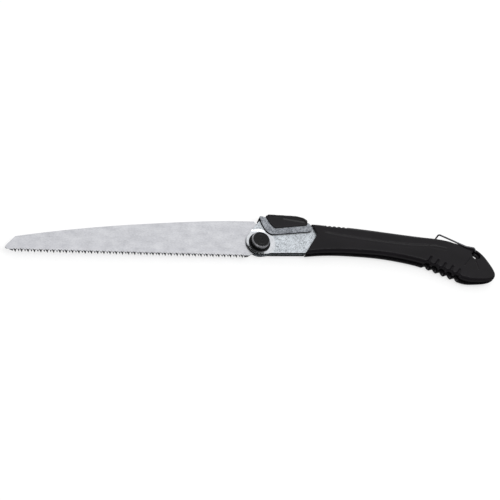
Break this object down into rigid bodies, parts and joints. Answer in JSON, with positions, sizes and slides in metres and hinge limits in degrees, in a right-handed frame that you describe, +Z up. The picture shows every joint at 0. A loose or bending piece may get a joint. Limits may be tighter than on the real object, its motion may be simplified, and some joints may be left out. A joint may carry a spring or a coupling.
{
  "type": "folding japanese pull saw",
  "caption": "Folding pull saw: a long tapered toothed blade that turns on a knobbed pivot in a cast bolster, with a sprung lock lever, a curved rubber grip and a wire hanger at the tail.",
  "frame": {"origin": "under the middle of the saw as it lies on its side with the blade open, on the surface it lies on", "axes": "+X from the blade's tip to the grip's tail, along the toothed edge; +Y from the teeth to the spine; +Z up, along the pivot bolt towards the knob"},
  "size_m": [0.6046, 0.0856, 0.0198],
  "materials": {
    "blade_steel": "satin ground plate",
    "bolster_alloy": "fine tumbled casting",
    "lever_alloy": "coarser blasted casting",
    "grip_rubber": "fine matt moulded rubber",
    "pad_rubber": "matt moulded rubber",
    "knob_black": "semi-gloss black",
    "wire_steel": "bright plated wire",
    "fastener_steel": "zinc plated",
    "bearing_bronze": "plain bearing bronze"
  },
  "bodies": {
    "handle": {"frame_near": "bolster_alloy", "frame_far": "bolster_alloy", "spine_spacer": "fastener_steel", "frame_rivets": "fastener_steel", "stop_pin": "fastener_steel", "lever_pin": "fastener_steel", "pivot_bolt": "fastener_steel", "pivot_knob": "knob_black", "knob_base": "knob_black", "thrust_washer_near": "bearing_bronze", "thrust_washer_far": "bearing_bronze", "disc_spring": "fastener_steel", "nut_washer": "fastener_steel", "pivot_nut": "fastener_steel", "lever_spring": "fastener_steel", "grip": "grip_rubber"},
    "blade": {"saw_blade": "blade_steel", "pivot_bush": "bearing_bronze"},
    "lever": {"lock_lever": "lever_alloy", "lever_pad": "pad_rubber", "lock_pawl": "fastener_steel", "pawl_pins": "fastener_steel"},
    "hanger": {"wire_hanger": "wire_steel"}
  },
  "joints": [
    {"name": "blade_fold", "type": "hinge", "parent": "handle", "child": "blade", "pos_m": [-0.0012, 0.00484, 0.009], "axis": [0, 0, 1], "range_deg": [0, 172]},
    {"name": "lever_press", "type": "hinge", "parent": "handle", "child": "lever", "pos_m": [0.0348, 0.02884, 0.009], "axis": [0, 0, 1], "range_deg": [-6.5, 0], "stiffness_Nm_per_rad": 1.5, "springref_deg": 5.73, "deforming": ["lever_spring"]},
    {"name": "hanger_swing", "type": "hinge", "parent": "handle", "child": "hanger", "pos_m": [0.28, -0.00176, 0.009], "axis": [0, 0, 1], "range_deg": [-165, 0]}
  ]
}
